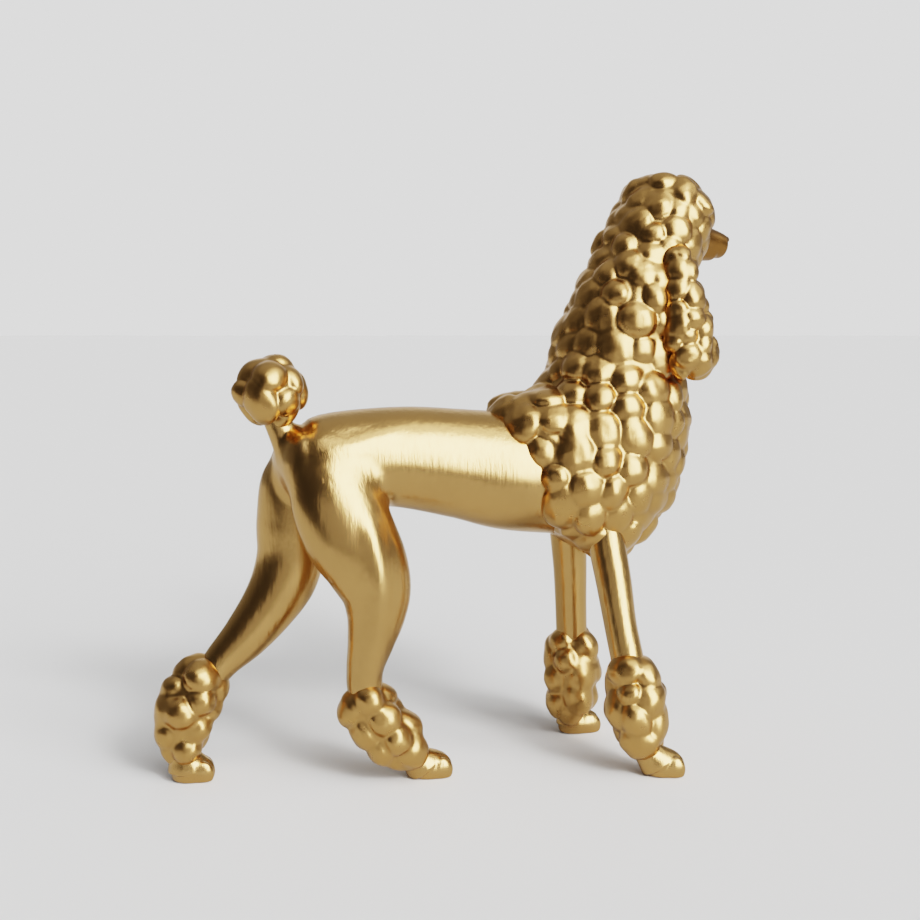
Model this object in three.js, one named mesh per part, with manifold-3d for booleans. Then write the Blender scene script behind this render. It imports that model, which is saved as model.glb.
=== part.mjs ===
// A standing poodle figurine in show clip: smooth body and legs, a coat of round lobes on
// the chest, neck, head, ears, tail and ankles. It is bonded together from separate castings.
//
// Millimetres. +X points to the head, +Y to the dog's left, +Z up. The paws stand on z = 0.
// Stations are measured from the floor under the middle of the trunk. The last lines then move
// the finished figurine by a few millimetres, to centre its bounding box on the origin.
import * as THREE from 'three';
import { mergeVertices } from 'three/addons/utils/BufferGeometryUtils.js';
import Module from 'manifold-3d';

const wasm = await Module();
wasm.setup();

// ---------------------------------------------------------------- driving dimensions

const GLUE_GAP = 0.3; // bond line between two castings
const BODY_WALL = 4; // wall of the hollow trunk
const HEAD_WALL = 8; // wall of the hollow head, measured under the lobes
const GROIN_HEIGHT = 118; // flat joint between the haunches and the hind legs
const SPIGOT_RADIUS = 6.5; // round plug on top of each hind leg
const SPIGOT_LENGTH = 8;
const ROD_RADIUS = 1.5; // steel rod inside each leg
const PIN_RADIUS = 1.2; // steel pin inside the tail
const ROD_INTO_PAW = 6; // height of each rod's lower end over the floor
const VENT_RADIUS = 2; // vent hole in the belly
const VENT_X = -8;
const VENT_FOOT = 100; // the vent's drill starts below the belly
const LOBE_HEIGHT = 3; // how far a lobe of the coat stands out
const SMALL_LOBE_HEIGHT = 2.5; // the same on ankles, ears and tail

const NECK_SEAM = [84, 0, 208]; // middle of the flat joint under the head
const HEAD_YAW = THREE.MathUtils.degToRad(12); // the head looks slightly to its left
const NECK_TUBE_RADIUS = 15; // tube of the neck that plugs into the head
const NECK_TUBE_BORE = 10;
const NECK_TUBE_LENGTH = 10;
const NECK_TUBE_ROOT = 14; // how deep the tube starts inside the neck

// A station is [x, y, z, half depth, half width]: the middle of an elliptical section, its half
// size in the body's long vertical plane, and its half size sideways.
const TRUNK = [
  [-83, 0, 146, 12, 12],
  [-72, 0, 144, 18.5, 18],
  [-54, 0, 142.5, 21, 20],
  [-28, 0, 142.5, 21.5, 20],
  [0, 0, 139, 24, 22],
  [24, 0, 134.5, 27, 24.5],
  [50, 0, 131, 28, 25],
];
const TRUNK_ROUND = [12, 1];
const MANE = [
  [8, 0, 132, 29, 27],
  [30, 0, 131, 33, 30],
  [56, 0, 135.5, 44, 34],
  [76.5, 0, 157, 43, 34],
  [78, 0, 183, 35, 30],
  [81, 0, 206, 28, 24.5],
  [85, 0, 226, 27, 23],
];
const MANE_ROUND = [2, 4];
const COLLAR_TOP = [14, 163]; // x and z where the coat ends on the back
const COLLAR_BOTTOM = [43, 98]; // and under the belly
const MANE_CAVITY = [
  [44, 0, 137, 12, 14],
  [60, 0, 147, 18, 19],
  [76, 0, 163, 22, 20],
  [80, 0, 184, 20, 18],
  [83, 0, 204, 11, 11],
];

// Head, in the frame of the neck seam.
const HEAD = [
  [-2, 0, -6, 26.5, 23.5],
  [4, 0, 16, 26, 24],
  [12, 0, 36, 27.5, 25],
  [15, 0, 50, 27.5, 25],
  [15, 0, 64, 26, 24],
];
const HEAD_ROUND = [4, 25];
const MUZZLE = [
  [26, 0, 35, 8.5, 8],
  [40, 0, 34.5, 7, 6.5],
  [51, 0, 33.5, 5.6, 5.2],
  [57, 0, 32.5, 4.6, 4.4],
];
const MUZZLE_ROUND = [2, 3.5];
const RIGHT_EAR = [
  [13, -23, 28, 5, 4.5],
  [13.5, -28, 14, 7, 5],
  [14.5, -31, -4, 9.5, 6],
  [15.5, -31, -18, 11, 6.5],
  [15.5, -29.5, -30, 10.5, 6.5],
];
const EAR_ROUND = [5, 8];

const TAIL_STEM = [
  [-72, 0, 141, 5, 5],
  [-80, 0, 148, 4.2, 4.2],
  [-84, 0, 156, 3.4, 3.4],
  [-86.5, 0, 166, 3.4, 3.4],
];
const TAIL_PIN_ROOT = [-67, 0, 137];
const TAIL_PIN_TIP = [-88, 0, 173];
const TAIL_POMPOM = [
  [-84.5, 0, 159.5, 13, 13],
  [-91, 0, 186.5, 13, 13],
];
const POMPOM_ROUND = [13, 13];

// Legs. The bone runs from inside the body to inside the cuff, and the cuff wraps the ankle.
// The paw is an ankle stub on a flat foot that runs from the heel to the toe.
const LEGS = {
  right_fore: {
    bone: [
      [64, -16, 114, 8.2, 8.2],
      [64.5, -20, 102, 8.2, 8.2],
      [65.5, -26, 84, 7.6, 7.5],
      [66.5, -32, 66, 6.9, 6.9],
      [68, -37, 50, 7.2, 7.2],
      [69, -39.5, 40, 6.8, 6.8],
    ],
    cuff: [
      [67.8, -37, 51, 8.5, 8.5],
      [69.2, -39, 42, 12, 11.5],
      [71, -41.5, 29, 12.8, 12.5],
      [73.5, -43.5, 16, 10, 10],
      [75.5, -44.5, 7, 7, 7],
    ],
    paw: { ankle: [74.4, -44, 13], heel: [77, -45], toe: [95, -48.5] },
    rodTop: 124,
  },
  left_fore: {
    bone: [
      [60, 15, 114, 8.2, 8.2],
      [61, 16.5, 102, 8.2, 8.2],
      [63, 18.5, 84, 7.6, 7.4],
      [64.3, 20, 66, 6.9, 6.9],
      [65.3, 21, 48, 7, 7],
      [65.6, 21.4, 38, 6.8, 6.8],
    ],
    cuff: [
      [65.4, 21, 50, 8.5, 8.5],
      [65.5, 21.2, 41, 12, 11.5],
      [65.8, 21.8, 27, 12.8, 12.5],
      [66.3, 22, 14, 10.5, 10.2],
      [66.6, 22, 6.5, 7, 7],
    ],
    paw: { ankle: [66.4, 22, 12.5], heel: [66.5, 22], toe: [81, 22.6] },
    rodTop: 122,
  },
  right_hind: {
    bone: [
      [-63, -6, 147, 12, 9],
      [-62, -12, 131, 19, 13.5],
      [-57, -15, 113, 20, 14.5],
      [-50, -16.5, 98, 17.8, 13.5],
      [-46, -17, 86, 14.4, 12],
      [-45.5, -17, 75, 11.8, 10.4],
      [-46.7, -16.5, 63, 9.6, 9],
      [-48.4, -16, 51, 8.1, 7.8],
      [-48.6, -16, 41, 7.6, 7.4],
      [-46, -16, 32, 7, 7],
    ],
    cuff: [
      [-49, -16, 42, 8.5, 8.5],
      [-47, -16, 33, 12, 11.5],
      [-40, -15.8, 22.5, 12.6, 12.3],
      [-32, -15.5, 13.5, 10, 10],
      [-26.5, -15.3, 8.5, 6.8, 6.8],
    ],
    paw: { ankle: [-31, -15.5, 13], heel: [-26, -15.2], toe: [-10, -14.8] },
    rodTop: 128,
  },
  left_hind: {
    bone: [
      [-67, 6, 147, 12, 9],
      [-70.5, 12, 131, 16.5, 13.5],
      [-74.5, 15.5, 113, 15.8, 14.5],
      [-77.5, 16, 98, 14.6, 13.2],
      [-81.5, 16, 86, 13.4, 12],
      [-88.5, 16, 74, 11, 10.3],
      [-98.3, 15.5, 61.5, 8.9, 8.6],
      [-108, 15, 50.5, 7.5, 7.3],
      [-116, 14.5, 40, 6.8, 6.8],
    ],
    cuff: [
      [-110.5, 15, 48, 8.5, 8.5],
      [-116, 14.5, 40.5, 11.8, 11.5],
      [-121.5, 14, 29, 12.8, 12.5],
      [-125, 13.6, 17, 10.2, 10],
      [-126.2, 13.4, 9.5, 7, 7],
    ],
    paw: { ankle: [-125.6, 13.4, 15], heel: [-126, 13.3], toe: [-112, 13] },
    rodTop: 128,
  },
};
const BONE_ROUND = [3, 3];
const CUFF_ROUND = [7, 6];
const ANKLE_RADIUS = 5;
const ANKLE_ROUND = [1.5, 4];
const FOOT_HEIGHT = 8.6;
const FOOT_WIDTH = 14;
const FOOT_ROUND = [5, 5];
const CUFF_FOOT = 0.6; // the lowest lobes stop this far over the floor

const SPINE_SAMPLES = 400; // steps along a centre line when it is searched for a height
const BIG = 800; // side of the blocks that cut everything above or below a height

// Lobes around each coat and rows of lobes along it.
const MANE_LOBES = [12, 11];
const HEAD_LOBES = [10, 5];
const EAR_LOBES = [4, 4];
const CUFF_LOBES = [5, 4];
const POMPOM_LOBES = [5, 3];

// ---------------------------------------------------------------- materials

const GOLD = { color: 0xb9903f, roughness: 0.32, metalness: 1 };
const DARK_GOLD = { color: 0x94672c, roughness: 0.38, metalness: 1 };
const STEEL = { color: 0x9a9ca0, roughness: 0.35, metalness: 1 };

// ---------------------------------------------------------------- solids

function solidOf(geometry) {
  geometry.deleteAttribute('normal');
  geometry.deleteAttribute('uv');
  const merged = mergeVertices(geometry, 1e-5);
  const vertProperties = new Float32Array(merged.getAttribute('position').array);
  const triVerts = new Uint32Array(merged.getIndex().array);
  return new wasm.Manifold(new wasm.Mesh({ numProp: 3, vertProperties, triVerts }));
}

function geometryOf(solid) {
  const { vertProperties, triVerts } = solid.getMesh();
  const geometry = new THREE.BufferGeometry();
  geometry.setAttribute('position', new THREE.BufferAttribute(vertProperties, 3));
  geometry.setIndex(new THREE.BufferAttribute(triVerts, 1));
  geometry.computeVertexNormals();
  return geometry;
}

/** How far a section has opened at a distance from a rounded end: 0 at the tip, 1 past it. */
function opening(distance, length) {
  const inside = 1 - Math.min(distance / length, 1);
  return Math.sqrt(1 - inside * inside);
}

/**
 * Closed solid swept through elliptical stations. `round` holds the lengths of its two rounded
 * ends, `grow` moves the whole surface out, and `relief(length, turn)` adds lobes to it.
 */
function limb(stations, { around = 12, along = 12, round = BONE_ROUND, grow = 0, relief = null } = {}) {
  const spine = new THREE.CatmullRomCurve3(stations.map(([x, y, z]) => new THREE.Vector3(x, y, z)));
  const halves = new THREE.CatmullRomCurve3(
    stations.map(([, , , deep, wide]) => new THREE.Vector3(deep, wide, 0)),
  );
  const [start, end] = [spine.getPoint(0), spine.getPoint(1)];
  const ball = new THREE.SphereGeometry(1, around, along);
  const position = ball.getAttribute('position');
  const uv = ball.getAttribute('uv');
  const sideways = new THREE.Vector3(0, 1, 0);
  for (let i = 0; i < position.count; i += 1) {
    const length = THREE.MathUtils.clamp(1 - uv.getY(i), 0, 1);
    const turn = uv.getX(i) % 1;
    const t = spine.getUtoTmapping(length);
    const centre = spine.getPoint(t);
    const half = halves.getPoint(t);
    const tangent = spine.getTangent(t);
    const front = sideways.clone().cross(tangent).normalize();
    const side = tangent.clone().cross(front);
    const open =
      opening(centre.distanceTo(start), round[0]) * opening(centre.distanceTo(end), round[1]);
    const cos = -Math.cos(turn * 2 * Math.PI);
    const sin = Math.sin(turn * 2 * Math.PI);
    const radial = front.clone().multiplyScalar(cos).addScaledVector(side, sin);
    const endward = (length < 0.5 ? -1 : 1) * Math.sqrt(1 - open * open);
    const outward = radial.multiplyScalar(open).addScaledVector(tangent, endward);
    const point = centre
      .addScaledVector(front, half.x * cos * open)
      .addScaledVector(side, half.y * sin * open)
      .addScaledVector(outward, grow + (relief ? relief(length, turn) : 0));
    position.setXYZ(i, point.x, point.y, point.z);
  }
  return solidOf(ball);
}

/** Relief of staggered rows of round lobes, as a height over the surface. */
function lobes([count, rows], height) {
  return (length, turn) => {
    const row = Math.min(Math.floor(length * rows), rows - 1);
    const along = Math.sin(Math.PI * length * rows);
    const across = Math.sin(Math.PI * (turn * count + (row % 2) / 2));
    return height * Math.sqrt(Math.abs(along * across));
  };
}

/** A lobed limb whose grid has four steps to each lobe around and three to each row. */
function coat(stations, count, height, round, grow = 0) {
  const relief = lobes(count, height);
  return limb(stations, { around: 4 * count[0], along: 3 * count[1], round, grow, relief });
}

/** Everything over a height, as a block larger than the figurine. */
function above(z) {
  return solidOf(new THREE.BoxGeometry(BIG, BIG, BIG).translate(0, 0, z + BIG / 2));
}

function below(z) {
  return solidOf(new THREE.BoxGeometry(BIG, BIG, BIG).translate(0, 0, z - BIG / 2));
}

/** Everything behind the slanted end of the chest coat. */
function behindCollar() {
  const lean = Math.atan2(COLLAR_BOTTOM[0] - COLLAR_TOP[0], COLLAR_TOP[1] - COLLAR_BOTTOM[1]);
  const block = new THREE.BoxGeometry(BIG, BIG, BIG).translate(-BIG / 2, 0, 0).rotateY(-lean);
  return solidOf(block.translate(COLLAR_TOP[0], 0, COLLAR_TOP[1]));
}

/** Upright round bar from its foot up. */
function bar(radius, height, x, y, foot) {
  const cylinder = new THREE.CylinderGeometry(radius, radius, height, 20).rotateX(Math.PI / 2);
  return solidOf(cylinder.translate(x, y, foot + height / 2));
}

/** Point on a limb's centre line at a height, or its nearest end. */
function spineAt(stations, height) {
  const spine = new THREE.CatmullRomCurve3(stations.map(([x, y, z]) => new THREE.Vector3(x, y, z)));
  const miss = (point) => Math.abs(point.z - height);
  return spine.getPoints(SPINE_SAMPLES).reduce((best, p) => (miss(p) < miss(best) ? p : best));
}

// ---------------------------------------------------------------- legs

/** Paw: an ankle stub on a flat foot, which dips a little below the floor until it is cut. */
function pawSolid({ ankle, heel, toe }, grow = 0) {
  const sunk = FOOT_HEIGHT / 2;
  const flare = ANKLE_RADIUS + 0.6;
  const middle = [(heel[0] + toe[0]) / 2, (heel[1] + toe[1]) / 2];
  const stub = [
    [...ankle, ANKLE_RADIUS, ANKLE_RADIUS],
    [...heel, sunk, flare, flare],
  ];
  const foot = [
    [heel[0] - flare, heel[1], sunk, sunk, flare],
    [...middle, sunk - 0.5, sunk, FOOT_WIDTH / 2],
    [...toe, sunk - 0.9, sunk - 0.4, FOOT_WIDTH / 2],
  ];
  const ankleSolid = limb(stub, { around: 12, along: 6, round: ANKLE_ROUND, grow });
  return ankleSolid.add(limb(foot, { around: 12, along: 10, round: FOOT_ROUND, grow }));
}

/** Bent steel rod down the middle of a leg, from inside the body to inside the paw. */
function rod({ bone, cuff, paw, rodTop }, grow = 0) {
  const middle = bone.slice(1, -1).map(([x, y, z]) => new THREE.Vector3(x, y, z));
  const points = [
    spineAt(bone, rodTop).setZ(rodTop),
    ...middle.filter((point) => point.z < rodTop - SPIGOT_LENGTH),
    spineAt(cuff, (bone.at(-1)[2] + paw.ankle[2]) / 2),
    new THREE.Vector3(...paw.ankle),
    new THREE.Vector3(...paw.heel, ROD_INTO_PAW),
  ];
  const stations = points.map((p) => [p.x, p.y, p.z, ROD_RADIUS, ROD_RADIUS]);
  return limb(stations, { around: 6, along: 16, round: [0.6, 0.6], grow });
}

/** One leg's castings, each cut back from what plugs into it. */
function cutLeg(leg) {
  const rodHole = rod(leg, GLUE_GAP);
  const bone = limb(leg.bone, { around: 14, along: 16 });
  const boneHole = limb(leg.bone, { around: 14, along: 16, grow: GLUE_GAP });
  const paw = pawSolid(leg.paw);
  const pawHole = pawSolid(leg.paw, GLUE_GAP);
  const cuff = coat(leg.cuff, CUFF_LOBES, SMALL_LOBE_HEIGHT, CUFF_ROUND);
  return {
    boneHole,
    rodHole,
    rod: rod(leg),
    bone: bone.subtract(rodHole),
    cuff: cuff.subtract(boneHole).subtract(pawHole).subtract(rodHole).intersect(above(CUFF_FOOT)),
    paw: paw.subtract(rodHole).intersect(above(0)),
  };
}

/** Hind legs end at the groin in a round spigot, and the haunch above it has the socket. */
function cutHindLeg(leg) {
  const parts = cutLeg(leg);
  const groin = spineAt(leg.bone, GROIN_HEIGHT);
  const foot = GROIN_HEIGHT - SPIGOT_LENGTH;
  const spigot = bar(SPIGOT_RADIUS, 2 * SPIGOT_LENGTH, groin.x, groin.y, foot);
  const socket = bar(SPIGOT_RADIUS + GLUE_GAP, 2 * SPIGOT_LENGTH + GLUE_GAP, groin.x, groin.y, foot);
  const haunch = parts.bone.intersect(above(GROIN_HEIGHT + GLUE_GAP / 2)).subtract(socket);
  const lower = parts.bone.intersect(below(GROIN_HEIGHT - GLUE_GAP / 2));
  return { ...parts, haunch, socket, bone: lower.add(spigot.subtract(parts.rodHole)) };
}

// ---------------------------------------------------------------- body, head and tail

const tailStem = limb(TAIL_STEM, { around: 12, along: 8, round: [2, 2] });
const tailStemHole = limb(TAIL_STEM, { around: 12, along: 8, round: [2, 2], grow: GLUE_GAP });

/** Steel pin through the stem, from inside the rump to inside the pompom. */
function tailPin(grow = 0) {
  const path = [TAIL_PIN_ROOT, ...TAIL_STEM.slice(1, 3), TAIL_PIN_TIP];
  const stations = path.map(([x, y, z]) => [x, y, z, PIN_RADIUS, PIN_RADIUS]);
  return limb(stations, { around: 6, along: 10, round: [0.5, 0.5], grow });
}

function trunkOutside(grow = 0) {
  return limb(TRUNK, { around: 24, along: 16, round: TRUNK_ROUND, grow });
}

/** Stations of the hollow inside a shell. */
function inside(stations, wall) {
  return stations.map(([x, y, z, deep, wide]) => [x, y, z, deep - wall, wide - wall]);
}

/** Hollow trunk and haunches. Its hollow runs out of the open collar at the front. */
function trunkShell(hindLegs) {
  const hollow = inside(TRUNK.slice(1), BODY_WALL);
  const [x, y, z, deep, wide] = hollow.at(-1);
  hollow.push([x + 3 * BODY_WALL, y, z, deep, wide]);
  const cavity = limb(hollow, { around: 14, along: 10, round: [14, 1] });
  const vent = bar(VENT_RADIUS, z - VENT_FOOT, VENT_X, 0, VENT_FOOT);
  const haunches = hindLegs.map((leg) => leg.haunch);
  let shell = haunches.reduce((sum, haunch) => sum.add(haunch), trunkOutside());
  shell = shell.subtract(cavity).subtract(vent).subtract(tailStemHole).subtract(tailPin(GLUE_GAP));
  return hindLegs.reduce((rest, leg) => rest.subtract(leg.socket).subtract(leg.rodHole), shell);
}

/** Hollow chest and neck, with a socket for the trunk and a tube that plugs into the head. */
function maneShell(foreLegs) {
  const [seamX, , seam] = NECK_SEAM;
  const tubeLength = NECK_TUBE_LENGTH + NECK_TUBE_ROOT;
  const tube = bar(NECK_TUBE_RADIUS, tubeLength, seamX, 0, seam - NECK_TUBE_ROOT);
  const bore = bar(NECK_TUBE_BORE, 2 * tubeLength, seamX, 0, seam - NECK_TUBE_ROOT - 1);
  let shell = coat(MANE, MANE_LOBES, LOBE_HEIGHT, MANE_ROUND).intersect(below(seam - GLUE_GAP / 2));
  shell = shell.subtract(limb(MANE_CAVITY, { around: 14, along: 10, round: [6, 1] }));
  shell = shell.subtract(trunkOutside(GLUE_GAP)).subtract(behindCollar()).add(tube).subtract(bore);
  return foreLegs.reduce((rest, leg) => rest.subtract(leg.boneHole).subtract(leg.rodHole), shell);
}

/** Head pieces in the frame of the neck seam. */
function headPieces() {
  const muzzle = limb(MUZZLE, { around: 16, along: 10, round: MUZZLE_ROUND });
  const muzzleHole = limb(MUZZLE, { around: 16, along: 10, round: MUZZLE_ROUND, grow: GLUE_GAP });
  const leftEarStations = RIGHT_EAR.map(([x, y, z, deep, wide]) => [x, -y, z, deep, wide]);
  const [rightEar, leftEar] = [RIGHT_EAR, leftEarStations].map((stations) => (
    coat(stations, EAR_LOBES, SMALL_LOBE_HEIGHT, EAR_ROUND)
  ));
  const earHoles = [RIGHT_EAR, leftEarStations].map((stations) => (
    coat(stations, EAR_LOBES, SMALL_LOBE_HEIGHT, EAR_ROUND, GLUE_GAP)
  ));
  const hollow = inside(HEAD, HEAD_WALL);
  hollow.at(-1)[2] -= HEAD_WALL;
  const socketLength = 2 * (NECK_TUBE_LENGTH + GLUE_GAP);
  const socket = bar(NECK_TUBE_RADIUS + GLUE_GAP, socketLength, 0, 0, -socketLength / 2);
  let shell = coat(HEAD, HEAD_LOBES, LOBE_HEIGHT, HEAD_ROUND).intersect(above(GLUE_GAP / 2));
  shell = shell.subtract(limb(hollow, { around: 12, along: 8, round: [1, 14] })).subtract(socket);
  shell = shell.subtract(muzzleHole).subtract(earHoles[0]).subtract(earHoles[1]);
  return { shell, muzzle, rightEar, leftEar };
}

// ---------------------------------------------------------------- assembly

function add(parent, name, solid, look) {
  const mesh = new THREE.Mesh(geometryOf(solid), new THREE.MeshStandardMaterial(look));
  mesh.name = name;
  parent.add(mesh);
  return mesh;
}

const figurine = new THREE.Group();

const legs = {
  right_fore: cutLeg(LEGS.right_fore),
  left_fore: cutLeg(LEGS.left_fore),
  right_hind: cutHindLeg(LEGS.right_hind),
  left_hind: cutHindLeg(LEGS.left_hind),
};
const mane = maneShell([legs.right_fore, legs.left_fore]);
add(figurine, 'trunk_shell', trunkShell([legs.right_hind, legs.left_hind]), GOLD);
add(figurine, 'mane_shell', mane, GOLD);

for (const [name, leg] of Object.entries(legs)) {
  const body = new THREE.Group();
  figurine.add(body);
  add(body, `${name}_leg`, leg.bone, GOLD);
  add(body, `${name}_cuff`, leg.cuff, GOLD);
  add(body, `${name}_paw`, leg.paw, GOLD);
  add(body, `${name}_rod`, leg.rod, STEEL);
}

add(figurine, 'tail_stem', tailStem.subtract(tailPin(GLUE_GAP)), GOLD);
const pompom = coat(TAIL_POMPOM, POMPOM_LOBES, SMALL_LOBE_HEIGHT, POMPOM_ROUND);
add(figurine, 'tail_pompom', pompom.subtract(tailStemHole).subtract(tailPin(GLUE_GAP)), GOLD);
add(figurine, 'tail_pin', tailPin(), STEEL);

const head = new THREE.Group();
head.position.set(...NECK_SEAM);
head.rotation.z = HEAD_YAW;
head.updateMatrix();
figurine.add(head);
const maneAroundHead = coat(MANE, MANE_LOBES, LOBE_HEIGHT, MANE_ROUND, GLUE_GAP)
  .transform(head.matrix.clone().invert().elements);
const { shell, muzzle, rightEar, leftEar } = headPieces();
add(head, 'head_shell', shell, GOLD);
add(head, 'muzzle', muzzle, DARK_GOLD);
add(head, 'right_ear', rightEar.subtract(maneAroundHead), GOLD);
add(head, 'left_ear', leftEar.subtract(maneAroundHead), GOLD);

// The origin is the middle of the bounding box's lower face.
const middle = new THREE.Box3().setFromObject(figurine, true).getCenter(new THREE.Vector3());
figurine.position.set(-middle.x, -middle.y, 0);

export default figurine;
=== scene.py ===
"""A gold poodle figurine: its fine surface, gold finish and studio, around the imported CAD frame.

Every form is a field over space, in millimetres: negative inside, zero on the surface. Fields are
joined smoothly, sampled on a grid, and turned into a mesh with one vertex in each crossed cell.
"""

import itertools
import math

import bmesh
import bpy
import numpy as np
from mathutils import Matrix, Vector


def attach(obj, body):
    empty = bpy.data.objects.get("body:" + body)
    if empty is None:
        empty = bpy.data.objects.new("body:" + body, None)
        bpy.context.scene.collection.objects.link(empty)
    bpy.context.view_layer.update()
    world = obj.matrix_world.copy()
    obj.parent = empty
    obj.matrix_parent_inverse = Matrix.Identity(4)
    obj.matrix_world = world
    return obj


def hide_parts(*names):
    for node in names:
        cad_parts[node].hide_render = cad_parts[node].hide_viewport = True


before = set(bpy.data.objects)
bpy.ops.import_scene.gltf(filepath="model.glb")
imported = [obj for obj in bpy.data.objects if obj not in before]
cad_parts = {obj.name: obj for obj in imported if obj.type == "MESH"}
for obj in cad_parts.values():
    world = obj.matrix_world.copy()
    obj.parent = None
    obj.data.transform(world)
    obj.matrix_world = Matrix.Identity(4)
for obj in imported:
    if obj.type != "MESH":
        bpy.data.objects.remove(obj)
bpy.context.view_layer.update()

# ------------------------------------------------------------------ driving dimensions, mm

MM = 0.001
FLOOR = -1.6  # height of the soles, in the stations' own axes
FIGURE_MIDDLE = np.array([1.325, -7.0, FLOOR])  # the frame's origin, in the same axes
SIDEWAYS = (0.0, 1.0, 0.0)
SPINE_SAMPLES = 128
GRID_BLOCK = 120_000  # grid points worked on at once
EVENING_PASSES = 2  # how often a surface's vertices are evened out
LEAST_SLOPE = 0.2  # squared; flatter stretches of a field are taken to slope this much

# Steps of the grids, which set how fine each surface is.
COAT_STEP = 0.85
BODY_STEP = 0.95
LEG_STEP = 0.7
POMPOM_STEP = 0.65
TRIM_STEP = 0.6  # ears and cuffs
FACE_STEP = 0.5  # muzzle and paws
COAT_BOX = ((-2, -42, 84), (132, 44, 280))
BODY_BOX = ((-124, -36, 28), (60, 36, 174))

LOBE_GAPS = (0.8, 1.0)  # how evenly lobes are spread: 1 and 1 would be as even as can be
LOBE_SINK = 0.42  # depth of a lobe's middle, as a share of its half thickness
LOBE_SIZES = (0.84, 1.2)  # least and greatest size, as a share of the coat's own
LOBE_STRETCHES = (0.935, 1.32)  # least and greatest length over width
LOBE_TURN = 0.3  # how far lobes turn away from the flow of the coat
LOBE_TILT = (5, 9)  # mean and spread of how far a lobe tips along the flow, degrees
LOBE_REACH = 3  # grid kept around a lobe's half length
WOBBLE = 0.28  # how far the lobes are pulled out of shape
WOBBLE_WAVES = 3
WOBBLE_LENGTHS = (14, 26)
DENT_DEPTH = 0.06
DENT_WAVES = 6
DENT_LENGTHS = (5, 10)
WAVE_STARTS = (0, 6)  # radians
CREASE_WIDTH = 0.7
FAR = 99  # the gap where no lobe is near

CUFF_SHRINK = 1.1  # how far a cuff's core lies inside its stations' sections
CUFF_END = 0.62  # normals nearer to the cuff's length than this belong to its ends
CUFF_CLEARANCE = 0.6  # of the cuffs over the floor
SOLE_LIFT = 3.6  # height of a paw's widest level
PAW_MARGIN = 13
TOES = (-1.5, -0.5, 0.5, 1.5)  # places across a paw
TOE_SPACING = 3.5
GROIN_HEIGHT = 115.5  # the joint between the haunches and the hind legs
GROIN_FRONT = -20.0
TAIL_ROOT = ((-81, 0, 150), (-0.451, 0, 0.892))  # a point and the normal of the joint's plane
TAIL_FRONT = -70.0
NECK_SEAM = np.array([84.0, 0.0, 208.0])
HEAD_YAW = math.radians(12)
TOPKNOT_HEIGHTS = (212, 232)  # between these the lobes grow finer
TOPKNOT_FINENESS = 1.2
FACE = (38, 0, 38)  # a point in the head's own axes, kept free of lobes
FACE_CLEARANCE = 15
TRUNK_CLEARANCE = 0.5  # of the lobes' feet over the trunk inside the coat
COLLAR_CLEARANCE = 1.5  # between the collar's edge and the nearest lobe's foot
BELLY_CLEARANCE = 6  # the same below BELLY_HEIGHT
BELLY_HEIGHT = 118
COLLAR_SLANT = 0.85  # distance square to the collar's edge, over distance along the body
COLLAR_TAPER = 9  # the coat thins out over this distance from its edge
COLLAR_THINNING = 0.45  # by this much for each millimetre nearer
COLLAR_HEIGHTS = (94, 106, 123, 137, 150, 157, 164)  # the rear edge of the chest coat
COLLAR_X = (62, 43, 35, 31, 25, 16, 8)

# Stations along a centre line: x, y, z, half depth, half width.
TRUNK = [
    (-84, 0, 144, 9, 12), (-73, 0, 142.5, 16, 17.5), (-60, 0, 142.7, 20.3, 20),
    (-28, 0, 142.3, 22.8, 20.5), (0, 0, 138.4, 25.1, 22), (24, 0, 134.2, 27.5, 24.5),
    (56, 0, 131, 28, 25),
]
MANE = [
    (-2, 0, 134, 26, 25), (30, 0, 131.5, 33, 30), (58.5, 0, 134, 44.5, 33.5), (73.5, 0, 157, 38.5, 32),
    (77, 0, 183, 29.5, 28), (81.5, 0, 206, 25.5, 24), (87, 0, 224, 19, 18),
]
SHOULDER = ((41, 0, 154), (26, 24, 17))  # centre and radii of the flare where the coat meets the back
CHEEKS = ((82, -16, 206), (82, 16, 206))  # fullness of the neck under the ears
CHEEK_RADII = (15, 11, 24)

# Head, ears and face, in the head's own axes.
HEAD = [
    (-1, 0, -10, 23, 21), (5.5, 0, 16, 23.5, 22.5), (15.75, 0, 36, 22.75, 23),
    (21.5, 0, 49, 21, 22), (25, 0, 62, 17.5, 18.5),
]
EAR = [
    (8.5, -22, 28, 5.5, 5), (9.2, -26.5, 14, 7.2, 6), (11.2, -29.5, -4, 10, 6.8),
    (13.6, -30, -18, 11.6, 7), (13.6, -28.5, -29, 10.8, 6.8),
]
MUZZLE = [
    (20, 0, 37, 13, 13), (34, 0, 36.4, 9.8, 9.8), (45, 0, 34.4, 7.6, 7), (53, 0, 33, 6.6, 6),
    (58.5, 0, 32.4, 5.4, 5),
]
JAW = [(24, 0, 31, 7, 9), (38, 0, 29.6, 5, 6.4), (52, 0, 29, 3.6, 4.4)]
BROW = ((29, 0, 46), (13, 13.5, 12))  # centres and radii
EYE_SOCKET = ((42.5, 8.2, 47), (4.5, 4.2, 3.6))
EYE = ((38.6, 7.6, 46.6), (3.6, 3.5, 2.9))
NOSE = ((57.8, 0, 35.6), (2.8, 3.4, 2.2))

TAIL_STEM = [
    (-73.5, 0, 138, 7.5, 7), (-78.5, 0, 147, 6.5, 6), (-82, 0, 155.4, 6, 5.5), (-87, 0, 168, 5.6, 5),
]
TAIL_POMPOM = [(-83.5, 0, 161, 10.5, 10.5), (-86, 0, 172, 13, 12.8), (-88.3, 0, 185.5, 12.6, 12.6)]

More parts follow.
